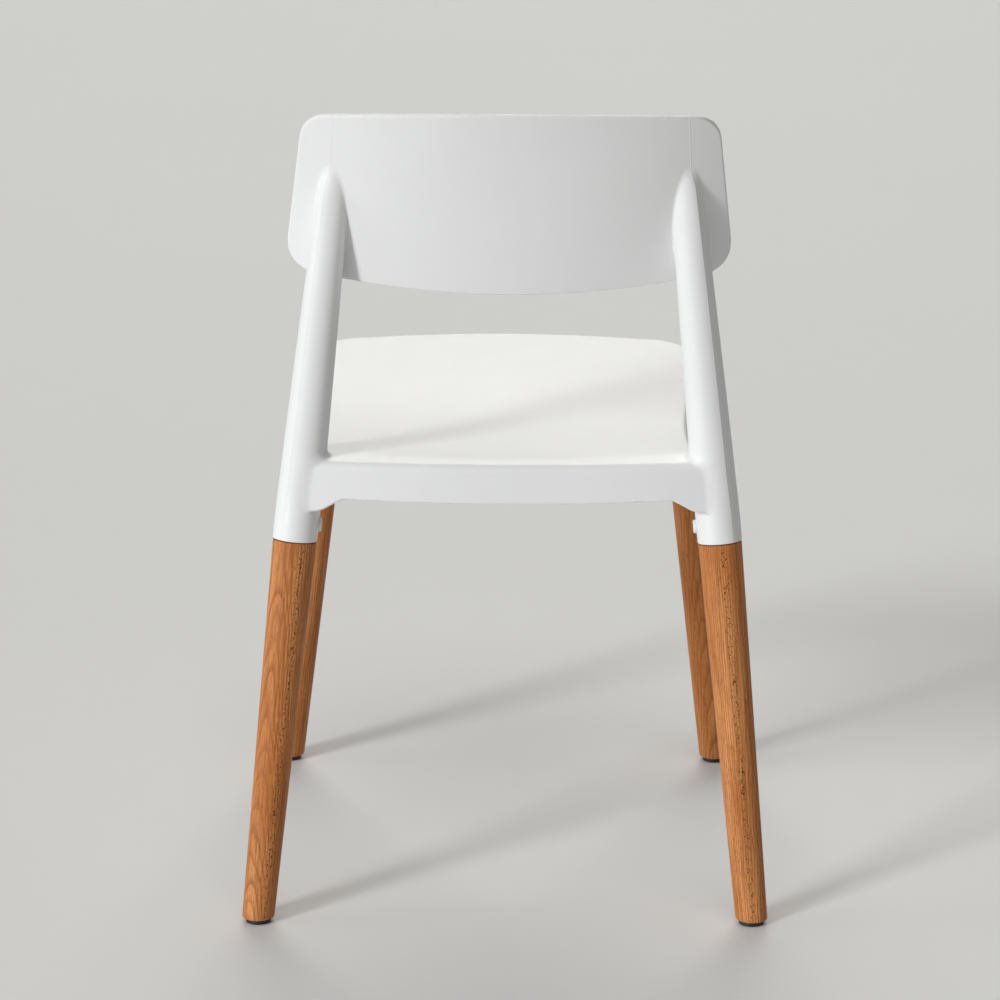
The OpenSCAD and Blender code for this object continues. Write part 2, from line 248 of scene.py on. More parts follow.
def outline_distance(u, v, outline):
    """Distance from points (u, v) to a closed outline, negative inside."""
    near, inside = np.full(u.shape, 1e9), np.zeros(u.shape, bool)
    for a, b in zip(outline, np.roll(outline, -1, axis=0)):
        e = b - a
        if e @ e < 1e-9:
            continue
        t = np.clip(((u - a[0]) * e[0] + (v - a[1]) * e[1]) / (e @ e), 0, 1)
        near = np.minimum(near, (u - a[0] - t * e[0]) ** 2 + (v - a[1] - t * e[1]) ** 2)
        if e[1]:
            inside ^= ((a[1] > v) != (b[1] > v)) & (u < a[0] + (v - a[1]) * e[0] / e[1])
    return np.where(inside, -1, 1) * np.sqrt(near)


class Outline:
    """Distance to a closed outline that mirrors itself, kept for its right half on a grid of 1 mm."""

    MARGIN = 12
    PAST_MIDDLE = 4

    def __init__(self, points):
        self.low = np.array([-self.PAST_MIDDLE, np.floor(points[:, 1].min()) - self.MARGIN])
        high = np.ceil(points.max(0)) + self.MARGIN
        u, v = np.meshgrid(*(np.arange(a, b + 1) for a, b in zip(self.low, high)), indexing="ij")
        self.table = outline_distance(u, v, points)

    def __call__(self, u, v):
        u, v = u - self.low[0], v - self.low[1]
        cu = np.clip(u, 0, self.table.shape[0] - 1.001)
        cv = np.clip(v, 0, self.table.shape[1] - 1.001)
        i, j = cu.astype(int), cv.astype(int)
        s, t = cu - i, cv - j
        table = self.table
        value = (table[i, j] * (1 - s) + table[i + 1, j] * s) * (1 - t)
        value += (table[i, j + 1] * (1 - s) + table[i + 1, j + 1] * s) * t
        return value + np.hypot(u - cu, v - cv)


# ---------------------------------------------------------------- the shell as a distance field

def smooth_union(a, b, k):
    """Union whose inner edge is blended where the two fields differ by less than k."""
    near = np.maximum(k - np.abs(a - b), 0) / k
    return np.minimum(a, b) - near * near * k / 4


def rounded_overlap(a, b, r):
    """Overlap whose outer edge is rounded by r."""
    u, v = a + r, b + r
    return np.minimum(np.maximum(u, v), 0) + np.hypot(np.maximum(u, 0), np.maximum(v, 0)) - r


def ease(value, low, high):
    """Smooth step from 0 at low to 1 at high."""
    t = np.clip((value - low) / (high - low), 0, 1)
    return t * t * (3 - 2 * t)


# POST_R's corners, rounded off by a running mean over 60 mm of height
RADIUS_Z = np.arange(330.0, 760.0, 2.0)
RADIUS = np.mean([np.interp(RADIUS_Z + d, *zip(*POST_R)) for d in range(-30, 31, 3)], axis=0)
PANEL_EDGE = Outline(panel_outline())
SEAT_EDGE = Outline(seat_outline())
# How far an upright turns away from its leg's line, per unit of height
TURN = np.array([-POST_IN, POST_BEHIND]) - AXES["rear"][1][:2]


def upright_line(z):
    """Centre of an upright at heights z, and its lean there."""
    foot, lean = AXES["rear"]
    within = np.clip(z - KNEE_Z + BEND, 0, 2 * BEND)
    turned = within * within / (4 * BEND) + np.maximum(z - KNEE_Z - BEND, 0)
    bent = within / (2 * BEND)
    x = foot[0] + lean[0] * z + TURN[0] * turned - POST_SHIFT * ease(z, 368, 440)
    y = foot[1] + lean[1] * z + TURN[1] * turned
    return x, y, lean[0] + TURN[0] * bent, lean[1] + TURN[1] * bent


def upright(x, y, z):
    """Distance to an upright, from the height where its line passes the point squarely."""
    level = z
    for _ in range(3):
        cx, cy, sx, sy = upright_line(level)
        dx, dy, dz = x - cx, y - cy, z - level
        along = (dx * sx + dy * sy + dz) / (1 + sx * sx + sy * sy)
        level = level + along
    cx, cy, sx, sy = upright_line(level)
    return np.sqrt((x - cx) ** 2 + (y - cy) ** 2 + (z - level) ** 2) - np.interp(level, RADIUS_Z, RADIUS)


def on_panel(y, z):
    """Distance behind the lower edge's middle, and height up the backrest's slope."""
    dy, dz = y - PANEL_LOW[0], z - PANEL_LOW[1]
    c, s = math.cos(PANEL_LEAN), math.sin(PANEL_LEAN)
    return dy * c - dz * s, dy * s + dz * c


def seat_top(x, y):
    """Height of the seat's upper face: a dish from front to back, with its sides rising at the rear."""
    dish = DISH_Z + DISH_R - np.sqrt(DISH_R ** 2 - (y - DISH_Y) ** 2)
    dish = dish + DISH_SIDE_RISE * x * x * ease(y, -100, 180)
    rim = smooth_union(dish, np.full_like(dish, RAIL_TOP_Z), 1.0)
    return np.where(y > 100, rim, dish)


def box_field(x, y, z, centre, half, r):
    """Distance to a box whose edges are rounded by r."""
    q = [np.abs(v - c) - h + r for v, c, h in zip((x, y, z), centre, half)]
    outside = np.sqrt(sum(np.maximum(v, 0) ** 2 for v in q))
    return outside + np.minimum(np.maximum(np.maximum(q[0], q[1]), q[2]), 0) - r


def gusset(x, y, z):
    across = np.abs(y - rail_face(x) + GUSSET_HALF_T) - GUSSET_HALF_T
    return rounded_overlap(outline_distance(x, z, GUSSET), across, 2.2)


def front_socket(x, y, z):
    """Distance to a front socket's outer face, which widens a little on its way up."""
    foot, lean = AXES["front"]
    up = lean / np.linalg.norm(lean)
    dx, dy, dz = x - foot[0], y - foot[1], z - foot[2]
    along = dx * up[0] + dy * up[1] + dz * up[2]
    off = np.sqrt(np.maximum(dx * dx + dy * dy + dz * dz - along * along, 0))
    return off - RIM_R - FRONT_SOCKET_GROWTH * (along - JOINTS["front"]) / FRONT_SOCKET_H


def shell_field(points):
    """Distance in millimetres to the moulding's surface, negative inside, without its screw joints."""
    x, y, z = np.abs(points[:, 0]), points[:, 1], points[:, 2]
    whole = np.full(x.shape, 1e3)
    high = z > FIELD_SPLIT_Z
    if high.any():
        whole[high] = upper_field(x[high], y[high], z[high])
    if not high.all():
        whole[~high] = lower_field(x[~high], y[~high], z[~high])
    return whole


def upper_field(x, y, z):
    """Upright and backrest, with a web between them, cut where it would show in front of the backrest."""
    bar = upright(x, y, z)
    behind, rise = on_panel(y, z)
    round_axis = np.hypot(x, behind + PANEL_R)
    slab = np.abs(round_axis - PANEL_R + PANEL_T / 2) - PANEL_T / 2
    panel = rounded_overlap(slab, PANEL_EDGE(x, rise), PANEL_EDGE_R)
    cx, cy, _, _ = upright_line(z)
    web = box_field(x - cx, y - cy, z, WEB_MIDDLE, WEB_HALF, 3)
    whole = smooth_union(smooth_union(bar, web, 2), panel, 1.8)
    ahead = np.maximum(round_axis - PANEL_R + PANEL_T, -2 - rise)
    return np.maximum(whole, -ahead)


def lower_field(x, y, z):
    """Hollow seat with its skirt, rail and ribs, the front socket, the gusset and the upright's foot."""
    top = z - seat_top(x, y)
    level = y + RAIL_TILT * (z - 425) * ease(y, 150, 200)
    edge = SEAT_EDGE(x, level)
    round_r = 8.0 + 2.0 * ease(-y, 120, 220)
    solid = rounded_overlap(edge, top, round_r)
    hollow = rounded_overlap(edge + SEAT_WALL, top + SEAT_WALL, np.maximum(round_r - SEAT_WALL, 1))
    low = np.interp(y, (-SEAT_FRONT, RAIL_BACK_Y - 70), (SKIRT_FRONT_Z, RAIL_LOW_Z)) - z
    low = low + 1.4 * (x / 150) ** 3 * ease(y, 150, 200)
    seat = rounded_overlap(np.maximum(solid, -hollow), low, 1.4)
    ribs = np.minimum(np.minimum(np.abs(x - RIB_X), np.abs(y - RIB_FRONT_Y)), np.abs(y - RIB_REAR_Y))
    ribs = ribs - RIB_HALF_T
    ribs = rounded_overlap(ribs, SKIRT_FRONT_Z - z, 1.0)
    ribs = np.maximum(ribs, solid + 2)
    seat = smooth_union(seat, ribs, 2.5)
    seat = smooth_union(seat, front_socket(x, y, z), 6)
    seat = np.maximum(seat, top)
    seat = np.minimum(seat, gusset(x, level, z))
    whole = smooth_union(seat, upright(x, y, z), 2.5 + 7.0 * ease(z, 436, 446))
    return np.maximum(whole, FIELD_LOW_Z - z)


def slope(points, reach):
    """Gradient of the shell's field, from four points around each."""
    total = np.zeros_like(points)
    for way in ((1, -1, -1), (-1, -1, 1), (-1, 1, -1), (1, 1, 1)):
        way = np.array(way, float)
        total += shell_field(points + reach * way)[:, None] * way
    return total / (4 * reach)


# ---------------------------------------------------------------- mesh of the field's surface

def onto_surface(points, limit):
    """Points moved onto the field's surface, by at most a limit along each axis."""
    grad = slope(points, REACH)
    move = shell_field(points)[:, None] * grad / np.maximum((grad * grad).sum(1), 0.25)[:, None]
    return points - np.clip(move, -limit, limit)


def sampled(step, low, high, block=4):
    """The field on a grid over the left half, worked out only near the surface."""
    blocks = [int(math.ceil((b - a) / (step * block))) for a, b in zip(low, high)]
    centres = np.stack(np.meshgrid(*[a + step * (block * np.arange(n) + (block - 1) / 2)
                                     for a, n in zip(low, blocks)], indexing="ij"), axis=-1)
    coarse = shell_field(centres.reshape(-1, 3)).reshape(blocks)
    live = np.abs(coarse) < step * block * 1.25 + 2
    grid = np.where(coarse < 0, -99.0, 99.0)
    for axis in range(3):
        grid, live = np.repeat(grid, block, axis), np.repeat(live, block, axis)
    where = np.argwhere(live)
    grid[live] = shell_field(np.array(low) + step * where)
    return grid


def cell_points(grid, cells):
    """Mean of the places where the surface crosses each cell's edges, in grid steps."""
    corners_of_cell = [np.array([i, j, k]) for i in (0, 1) for j in (0, 1) for k in (0, 1)]
    value = {tuple(s): grid[tuple((cells + s).T)] for s in corners_of_cell}
    total, crossings = np.zeros((len(cells), 3)), np.zeros(len(cells))
    for s in corners_of_cell:
        for axis in range(3):
            if s[axis]:
                continue
            t = s.copy()
            t[axis] = 1
            a, b = value[tuple(s)], value[tuple(t)]
            crossed = (a < 0) != (b < 0)
            share = np.where(crossed, a / np.where(crossed, a - b, 1), 0)
            total += crossed[:, None] * (s + share[:, None] * (t - s))
            crossings += crossed
    return cells + total / crossings[:, None]


def cell_quads(inside, number):
    """Quads that join the four cells round each crossed edge of the grid, facing outwards."""
    quads = []
    for axis in range(3):
        ahead = np.roll(inside, -1, axis)
        edges = np.argwhere(inside != ahead)
        edges = edges[(edges >= 1).all(1) & (edges < number.shape).all(1)]
        u, v = np.eye(3, dtype=int)[(axis + 1) % 3], np.eye(3, dtype=int)[(axis + 2) % 3]
        four = np.stack([number[tuple((edges - d).T)] for d in (u + v, v, 0 * u, u)], axis=1)
        out = inside[tuple(edges.T)]
        quads.append(np.where(out[:, None], four, four[:, ::-1]))
    return np.concatenate(quads)


def surface(step):
    """Quads of the shell's surface: the left half's, then their mirror image."""
    # The grid stands a little outside the shell, and starts half a step past the middle plane
    low, high = np.array([-step / 2, -SEAT_FRONT - 6.3, 340.3]), (262.0, 284.0, 790.0)
    grid = sampled(step, low, high)
    inside = grid < 0
    n = np.array(grid.shape) - 1
    count = sum(inside[i:n[0] + i, j:n[1] + j, k:n[2] + k].astype(np.int8)
                for i in (0, 1) for j in (0, 1) for k in (0, 1))
    cells = np.argwhere((count > 0) & (count < 8))
    number = np.full(n, -1)
    number[tuple(cells.T)] = np.arange(len(cells))
    points = low + step * cell_points(grid, cells)
    quads = cell_quads(inside, number)
    middle = cells[:, 0] == 0
    points[middle, 0] = 0
    for _ in range(3):
        points = onto_surface(points, step / 2)
        points[middle, 0] = 0
    twin = np.arange(len(points)) + len(points)
    twin[middle] = np.flatnonzero(middle)
    everything = np.concatenate([points, points * (-1, 1, 1)])
    faces = np.concatenate([quads, twin[quads][:, ::-1]])
    used, faces = np.unique(faces, return_inverse=True)
    return everything[used], faces.reshape(-1, 4)


def mesh_object(name, points, faces):
    """New object from points in millimetres."""
    mesh = bpy.data.meshes.new(name)
    mesh.from_pydata((np.asarray(points) * MM).tolist(), [], [list(map(int, f)) for f in faces])
    mesh.update()
    piece = bpy.data.objects.new(name, mesh)
    bpy.context.scene.collection.objects.link(piece)
    return piece


def ring(r, s, sides):
    """Points of a ring round the axis, at height s along it."""
    a = 2 * math.pi * np.arange(sides) / sides
    return np.stack([r * np.cos(a), r * np.sin(a), np.full(sides, s)], axis=1)


def ring_band(low, high, sides):
    """Quads between two rings, given the number of each one's first point."""
    i = np.arange(sides)
    j = (i + 1) % sides
    return np.stack([low + i, low + j, high + j, high + i], axis=1).tolist()


def closed(rings, low_tip, high_tip):
    """Points and faces of a solid round its axis, closed at both ends by a point on the axis."""
    sides = len(rings[0])
    points = np.concatenate(rings + [[[0, 0, low_tip]], [[0, 0, high_tip]]])
    first, last, end = len(points) - 2, len(points) - 1, (len(rings) - 1) * sides
    faces = []
    for k in range(len(rings) - 1):
        faces += ring_band(k * sides, (k + 1) * sides, sides)
    i = np.arange(sides)
    j = (i + 1) % sides
    faces += [[first, b, a] for a, b in zip(i, j)]
    faces += [[last, end + a, end + b] for a, b in zip(i, j)]
    return points, faces


def lathe(profile, origin, axes, sides=96):
    """A turned solid. Its profile of (radius, height) starts and ends on the axis."""
    rings = [ring(r, s, sides) for r, s in profile[1:-1]]
    points, faces = closed(rings, profile[0][1], profile[-1][1])
    return origin + points @ axes.T, faces


def several(name, solids):
    """One object made of several solids."""
    points, faces, start = [], [], 0
    for p, f in solids:
        points.append(p)
        faces += [[v + start for v in face] for face in f]
        start += len(p)
    return mesh_object(name, np.concatenate(points), faces)


def combine(piece, operation, solids):
    """Adds solids to a piece (UNION) or cuts them out of it (DIFFERENCE)."""
    tool = several("tool", solids)
    change = piece.modifiers.new(operation, "BOOLEAN")
    change.operation = operation
    change.solver = "MANIFOLD"
    change.object = tool
    keep_changes(piece)
    bpy.data.objects.remove(tool)


def keep_changes(piece):
    """Puts a piece's modifiers into its mesh."""
    bpy.context.view_layer.update()
    done = bpy.data.meshes.new_from_object(piece.evaluated_get(bpy.context.evaluated_depsgraph_get()))
    piece.modifiers.clear()
    piece.data = done


def round_corner(centre, r, a0, a1, n=5):
    """Rounded corner of a turned profile."""
    return arc(centre, r, a0, a1, n).tolist()


def boss_profile():
    """Screw boss, from inside the socket's wall to its rounded end."""
    start, edge = 17, 2.2
    corner = round_corner((BOSS_R - edge, BOSS_OUT - edge), edge, 0, 62)
    return [(0, start), (BOSS_R, start)] + corner + [(0, BOSS_OUT)]


def socket_profile():
    """What is cut away at a joint: all below the rounded rim, and the blind bore with its chamfer."""
    below, beyond, chamfer = -26, 30, 0.8
    rim = round_corner((RIM_R - RIM_ROUND + 0.05, RIM_ROUND), RIM_ROUND, -8, -90)
    bore = [(BORE_R + chamfer, 0), (BORE_R, chamfer), (BORE_R, SOCKET_DEPTH), (0, SOCKET_DEPTH)]
    return [(0, below), (beyond, below), (beyond, RIM_ROUND + 0.4)] + rim + bore


def screw_hole_profile():
    """Hole for the screw's shank, with the recess for its head."""
    start, beyond, head_r = 2, 30, HEAD_R + 0.4
    return [(0, start), (SHANK_HOLE_R, start), (SHANK_HOLE_R, HEAD_SEAT), (head_r, HEAD_SEAT),
            (head_r, beyond), (0, beyond)]


def build_shell():
    """The moulding: the field's surface, thinned, with bosses added, then sockets and screw holes cut."""
    step, goal = ((2.0, 180000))
    points, faces = surface(step)
    piece = mesh_object("shell_moulding", points, faces)
    thin = piece.modifiers.new("thin", "DECIMATE")
    thin.ratio = min(1.0, goal / (2 * len(faces)))
    keep_changes(piece)
    places = read(piece.data.vertices, "co", 3) / MM
    piece.data.vertices.foreach_set("co", (onto_surface(places, 0.5) * MM).ravel())
    boss, socket, hole = boss_profile(), socket_profile(), screw_hole_profile()
    sides = 64
    combine(piece, "UNION", [lathe(boss, *screw_frame(end, sign), sides) for end, _, sign in LEGS])
    combine(piece, "DIFFERENCE", [lathe(socket, *leg_frame(end, sign, JOINTS[end])) for end, _, sign in LEGS])
    combine(piece, "DIFFERENCE", [lathe(hole, *screw_frame(end, sign), sides) for end, _, sign in LEGS])
    shade_shell(piece.data)
    return piece


def unit(vectors):
    """Vectors at a length of 1."""
    return vectors / np.maximum(np.linalg.norm(vectors, axis=1), 1e-6)[:, None]


def corner_normals(mesh, places, normals):
    """Normal of each face corner: the field's own, or the face's where a cutter made the face."""
    loops = read(mesh.loops, "vertex_index", kind=int)
    face = np.repeat(np.arange(len(mesh.polygons)), read(mesh.polygons, "loop_total", kind=int))
    flat = read(mesh.polygons, "normal", 3)[face]
    centre = read(mesh.polygons, "center", 3)[face] / MM
    normal = normals[loops]
    off = np.abs(shell_field(places))[loops] > 0.2
    doubtful = np.flatnonzero(((normal * flat).sum(1) < 0.96) & ~off)
    inner = places[loops[doubtful]] * 0.7 + centre[doubtful] * 0.3
    normal[doubtful] = unit(slope(inner, 0.15))
    wrong = off | ((normal * flat).sum(1) < 0.88)
    normal[wrong] = flat[wrong]
    return normal


def parting_line(places, normals):
    """Each point's distance from the mould's parting line in millimetres, and the line's strength there."""
    x, y, z = np.abs(places[:, 0]), places[:, 1], places[:, 2]
    cx, cy, _, _ = upright_line(z)
    turned = np.arctan2(x - cx, y - cy) - CREASE_ANGLE
    on_bar = turned * np.hypot(x - cx, y - cy)
    line_z, line_x = (718, 772), (164.0, 160.5)
    on_back = x - np.interp(z, line_z, line_x)
    seam = on_bar + (on_back - on_bar) * ease(z, 700, 720)
    seam = np.where(normals[:, 1] < -0.2, 50.0, seam)
    strength = ease(z, 385, 425) * 0.6 + 0.4 + ease(z, 620, 690) * 0.7
    strength = strength * (1 - ease(z, 690, 722)) * (y > cy - 4) * (normals[:, 1] > -0.2)
    return seam, strength


def shade_shell(mesh):
    """Gives the shell the field's own normals, and what its material needs for the parting line."""
    places = read(mesh.vertices, "co", 3) / MM
    normals = unit(slope(places, REACH))
    at_corners = corner_normals(mesh, places, normals)
    mesh.polygons.foreach_set("use_smooth", np.ones(len(mesh.polygons), bool))
    mesh.normals_split_custom_set(at_corners.tolist())
    for name, values in zip(("seam", "crease"), parting_line(places, normals)):
        layer = mesh.attributes.new(name, "FLOAT", "POINT")
        layer.data.foreach_set("value", values.astype(np.float32))


# ---------------------------------------------------------------- legs, pads

# Edges that turn by more than this many degrees stay sharp on turned pieces
EDGE_ANGLE = 32

# How each leg was sawn: its pith's direction in degrees and distance at the foot, how fast it comes closer
# at the foot and at the joint, a shift along the stem that keeps the legs' figures apart, in millimetres,
# and the direction of the line where rays were cut across
GRAIN = {("rear", "left"): (-130.0, 62.0, 0.125, 0.040, 100.0, 114.0),
         ("rear", "right"): (-12.0, 58.0, 0.030, 0.015, 1300.0, 95.0),
         ("front", "left"): (160.0, 50.0, -0.050, 0.010, 2400.0, 60.0),
         ("front", "right"): (-75.0, 60.0, 0.080, 0.050, 3700.0, 250.0)}


def build_leg(end, side, sign):
    """Turned leg with a shouldered tenon, its foot cut level on the pad."""
    origin, axes = leg_frame(end, sign, PAD_T)
    lean = np.linalg.norm(AXES[end][1])
    joint = (JOINTS[end] - PAD_T) * lean
    shoulder = joint - JOINT_GAP
    grow = (LEG_TOP_R - LEG_FOOT_R) / (JOINTS[end] * lean)
    sides = 96
    a = 2 * math.pi * np.arange(sides) / sides

    def radius(s):
        return LEG_TOP_R - (joint - s) * grow

    def level_ring(inset, rise):
        """Ring that lies level, at a height above the pad."""
        z = PAD_T + rise
        r = radius(0) - inset
        s = (z - PAD_T - r * (np.cos(a) * axes[2, 0] + np.sin(a) * axes[2, 1])) / axes[2, 2]
        return np.stack([r * np.cos(a), r * np.sin(a), s], axis=1)

    foot = [level_ring(inset, rise) for inset, rise in ((6, 0), (1.1, 0), (0.35, 0.35), (0, 1.1))]
    stem = [ring(radius(s), s, sides) for s in np.linspace(8, shoulder - 1.1, 30)]
    edge = [ring(r, s + shoulder, sides) for r, s in round_corner((LEG_TOP_R - 1.0, -1.0), 1.0, 15, 90)]
    end_s = joint + TENON_L
    tenon = [ring(TENON_R, shoulder, sides), ring(TENON_R, end_s - TENON_EDGE, sides),
             ring(TENON_R - TENON_EDGE, end_s, sides)]
    points, faces = closed(foot + stem + edge + tenon, 0, end_s)
    piece = mesh_object(f"{end}_{side}_leg_wood", origin + points @ axes.T, faces)
    for name, value in wood_places(points, joint, *GRAIN[end, side]).items():
        layer = piece.data.attributes.new(name, "FLOAT_VECTOR", "POINT")
        layer.data.foreach_set("vector", (value * MM).astype(np.float32).ravel())
    smooth(piece.data)
    return piece


def wood_places(points, joint, heading, distance, near_foot, near_joint, shift, ray_line):
    """Where a leg's points lie in its tree: along the fibres, from the pith, and round from the ray line."""
    s = points[:, 2]
    closer = near_foot * s - (near_foot - near_joint) * s * s / (2 * joint)
    towards = np.array([math.cos(math.radians(heading)), math.sin(math.radians(heading))])
    from_pith = points[:, :2] - towards * (distance - closer)[:, None]
    turned = np.abs((np.degrees(np.arctan2(points[:, 1], points[:, 0])) - ray_line + 180) % 360 - 180)
    return {"grain": points + (0, 0, shift), "pith": np.column_stack([from_pith, s]),
            "rays": np.column_stack([np.radians(turned) * LEG_FOOT_R, 0 * s, 0 * s])}


def smooth(mesh):
    """Smooth shading, but for sharp edges."""
    mesh.polygons.foreach_set("use_smooth", np.ones(len(mesh.polygons), bool))
    mesh.set_sharp_from_angle(angle=math.radians(EDGE_ANGLE))


def build_pad(end, side, sign):
    """Glide pad with a rounded lower edge, recessed for its nail."""
    recess_r, recess_h, low_edge, top_edge = 4.0, 2.2, 1.2, 0.7
    profile = [(NAIL_R, recess_h), (recess_r, recess_h)]
    profile += round_corner((recess_r + 0.5, 0.5), 0.5, 180, 270, 3)
    profile += round_corner((PAD_R - low_edge, low_edge), low_edge, -90, 0, 6)
    profile += round_corner((PAD_R - top_edge, PAD_T - top_edge), top_edge, 0, 90, 3)
    profile += [(NAIL_R, PAD_T)]
    sides = 72
    points = np.concatenate([ring(r, s, sides) for r, s in profile])
    faces = []
    for k in range(len(profile)):
        faces += ring_band(k * sides, (k + 1) % len(profile) * sides, sides)
    middle = leg_frame(end, sign, PAD_T)[0] * (1, 1, 0)
    piece = mesh_object(f"{end}_{side}_glide", middle + points, faces)
    smooth(piece.data)
    return piece


# ---------------------------------------------------------------- materials

class Nodes:
    """Short way to write a material's node tree."""

    def __init__(self, name):
        self.material = bpy.data.materials.new(name)
        self.material.use_nodes = True
        self.tree = self.material.node_tree
        self.shader = self.tree.nodes["Principled BSDF"]

    def add(self, kind, **settings):
        node = self.tree.nodes.new("ShaderNode" + kind)
        for key, value in settings.items():
            setattr(node, key, value)
        return node

    def put(self, socket, value):
        if isinstance(value, bpy.types.NodeSocket):
            self.tree.links.new(value, socket)
        else:
            socket.default_value = value

    def math(self, operation, *values, clamp=False):
        node = self.add("Math", operation=operation, use_clamp=clamp)
        for socket, value in zip(node.inputs, values):
            self.put(socket, value)
        return node.outputs[0]

    def vector(self, operation, *values):
        node = self.add("VectorMath", operation=operation)
        for socket, value in zip(node.inputs, values):
            self.put(socket, value)
        return node.outputs["Value" if operation == "LENGTH" else "Vector"]

    def noise(self, vector, scale, detail=3.0, rough=0.5):
        node = self.add("TexNoise")
        for name, value in (("Vector", vector), ("Scale", scale), ("Detail", detail), ("Roughness", rough)):
            self.put(node.inputs[name], value)
        return node.outputs["Fac"]

    def ramp(self, value, low, high, out_low=0.0, out_high=1.0):
        node = self.add("MapRange", interpolation_type="SMOOTHSTEP")
        for socket, v in zip(node.inputs, (value, low, high, out_low, out_high)):
            self.put(socket, v)
        return node.outputs["Result"]

    def mix(self, share, a, b):
        node = self.add("Mix", data_type="RGBA")
        self.put(node.inputs["Factor"], share)
        self.put(node.inputs[6], a)
        self.put(node.inputs[7], b)
        return node.outputs[2]

    def bump(self, height):
        """Normal of a relief whose height is in millimetres."""
        node = self.add("Bump")
        node.inputs["Distance"].default_value = MM
        self.put(node.inputs["Height"], height)
        return node.outputs["Normal"]

    def set(self, **values):
        for name, value in values.items():
            self.put(self.shader.inputs[name.replace("_", " ")], value)


def object_place(nodes):
    """Place in the object's own metres, for textures."""
    return nodes.add("TexCoord").outputs["Object"]


def white_plastic():
    """Moulded polypropylene: satin, a fine spark-eroded texture, and the mould's parting line."""
    n = Nodes("white_polypropylene")
    place_in = object_place(n)
    cloud = n.noise(place_in, 5.0, 4.0)
    tone = n.mix(n.ramp(cloud, 0.35, 0.65), (0.795, 0.80, 0.80, 1), (0.825, 0.828, 0.828, 1))
    specks = n.ramp(n.noise(place_in, 420.0, 1.0), 0.80, 0.84)
    tone = n.mix(n.math("MULTIPLY", specks, 0.35), tone, (0.45, 0.43, 0.40, 1))
    scuff = n.noise(n.vector("MULTIPLY", place_in, (30.0, 60.0, 30.0)), 3.0, 5.0, 0.65)
    rough = n.math("ADD", n.ramp(scuff, 0.35, 0.75, 0.36, 0.46), n.math("MULTIPLY", cloud, 0.06))
    seam = n.add("Attribute", attribute_name="seam").outputs["Fac"]
    crease = n.add("Attribute", attribute_name="crease").outputs["Fac"]
    away = n.math("ABSOLUTE", seam)
    slope_up = n.math("SUBTRACT", 1.0, n.math("DIVIDE", away, 13.0), clamp=True)
    ridge = n.math("MULTIPLY", n.math("POWER", slope_up, 2.0), n.math("MULTIPLY", crease, 0.85))
    flash = n.math("MULTIPLY", n.ramp(away, 0.1, 0.75, 1.0, 0.0), 0.13)
    grain = n.math("MULTIPLY", n.noise(place_in, 900.0, 3.0, 0.6), 0.05)
    height = n.math("ADD", n.math("ADD", ridge, flash), grain)
    n.set(Base_Color=tone, Roughness=rough, IOR=1.49, Normal=n.bump(height), Specular_IOR_Level=0.42,
          Subsurface_Weight=0.06, Subsurface_Radius=(0.004, 0.0035, 0.003), Subsurface_Scale=0.6)
    return n.material


# Width of a year's ring in the wood, in metres
RING_SPACING = 0.0021


